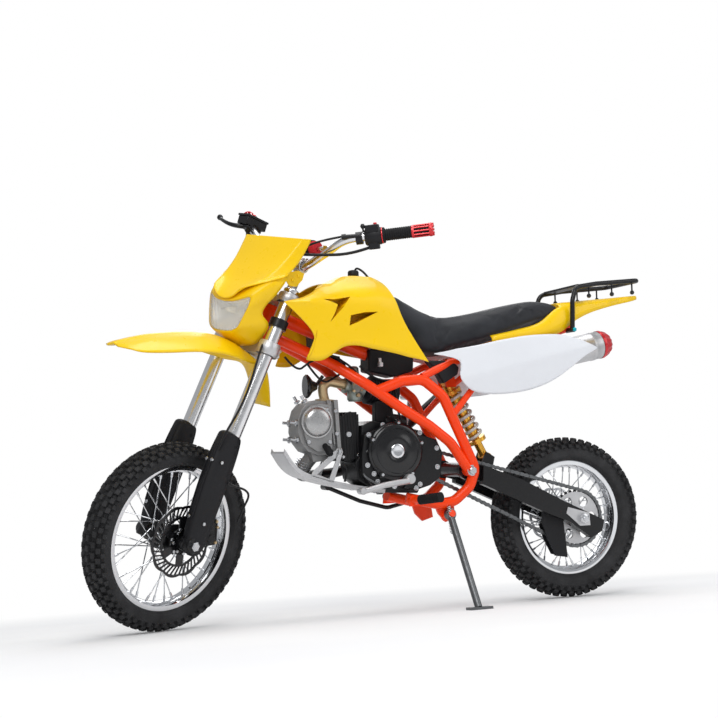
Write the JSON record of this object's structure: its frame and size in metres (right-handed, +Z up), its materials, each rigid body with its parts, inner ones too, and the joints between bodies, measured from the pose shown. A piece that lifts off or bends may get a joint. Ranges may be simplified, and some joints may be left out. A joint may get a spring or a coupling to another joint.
{
  "type": "small dirt bike",
  "caption": "Small off-road motorcycle with yellow bodywork, orange tube frame, wire wheels and rear rack, leaning on its side stand.",
  "frame": {"origin": "on the ground under the middle of the whole bike's box, as it stands on its side stand", "axes": "+X forward along the bike, +Y towards its left side, +Z up; the bike leans towards +Y"},
  "size_m": [1.724, 0.6608, 1.2173],
  "materials": {
    "alloy": "satin",
    "black_paint": "satin",
    "black_plastic": "matte",
    "chrome_rim": "polished",
    "grip_rubber": "matte",
    "lamp_glass": "clear",
    "orange_paint": "gloss",
    "red_anodised": "gloss",
    "red_pad": "matte",
    "seat_cover": "satin",
    "steel": "satin",
    "tyre_rubber": "matte",
    "white_plastic": "gloss",
    "yellow_plastic": "gloss"
  },
  "bodies": {
    "front_wheel": {"front_tyre": "tyre_rubber", "front_rim": "chrome_rim", "front_spokes": "steel", "front_hub": "black_paint", "front_disc": "black_paint"},
    "rear_wheel": {"rear_tyre": "tyre_rubber", "rear_rim": "chrome_rim", "rear_spokes": "steel", "rear_hub": "black_paint", "rear_disc": "steel", "rear_sprocket": "alloy"},
    "chassis": {"chain": "steel", "frame": "orange_paint", "swingarm": "black_paint", "rear_axle": "steel", "shock_absorber": "black_paint", "shock_spring": "steel", "crankcase": "black_paint", "drive_sprocket": "steel", "cylinder": "black_paint", "cylinder_head": "alloy", "carburettor": "alloy", "air_filter": "black_plastic", "exhaust_pipe": "black_paint", "silencer": "alloy", "silencer_cap": "red_anodised", "tank_cover": "yellow_plastic", "fuel_tank": "black_plastic", "fuel_cap": "black_plastic", "seat": "seat_cover", "side_panel_left": "white_plastic", "side_panel_right": "white_plastic", "rear_fender": "yellow_plastic", "rear_rack": "black_paint", "bash_plate": "alloy", "footpeg_left": "grip_rubber", "footpeg_right": "grip_rubber", "shift_lever": "alloy", "brake_pedal": "black_paint", "kick_lever": "steel", "chain_guide": "black_plastic", "rear_caliper": "black_paint"},
    "steering": {"lower_clamp": "alloy", "upper_clamp": "alloy", "fork_tubes": "steel", "fork_guards": "black_plastic", "front_axle": "steel", "front_fender": "yellow_plastic", "handlebar": "steel", "bar_pad": "red_pad", "grips": "grip_rubber", "switch_left": "black_plastic", "switch_right": "black_plastic", "brake_lever": "black_paint", "headlight_mask": "yellow_plastic", "headlamp": "lamp_glass", "lamp_bracket": "black_paint", "front_caliper": "black_paint"},
    "side_stand": {"side_stand": "steel"}
  },
  "joints": [
    {"name": "steering_turn", "type": "hinge", "parent": "chassis", "child": "steering", "pos_m": [0.5977, -0.05196, 0.23025], "axis": [-0.405, 0.0955, 0.9093], "range_deg": [-55.2, 0]},
    {"name": "front_wheel_spin", "type": "hinge", "parent": "steering", "child": "front_wheel", "pos_m": [0.63011, -0.03202, 0.24259], "axis": [-0.4238, 0.8617, -0.2792], "continuous": true},
    {"name": "rear_wheel_spin", "type": "hinge", "parent": "chassis", "child": "rear_wheel", "pos_m": [-0.56575, -0.05162, 0.23578], "axis": [-0.0002, 0.9945, -0.1045], "continuous": true},
    {"name": "side_stand_swing", "type": "hinge", "parent": "chassis", "child": "side_stand", "pos_m": [-0.1457, 0.0473, 0.25774], "axis": [-0.1511, 0.9769, 0.1511], "range_deg": [0, 95]}
  ]
}
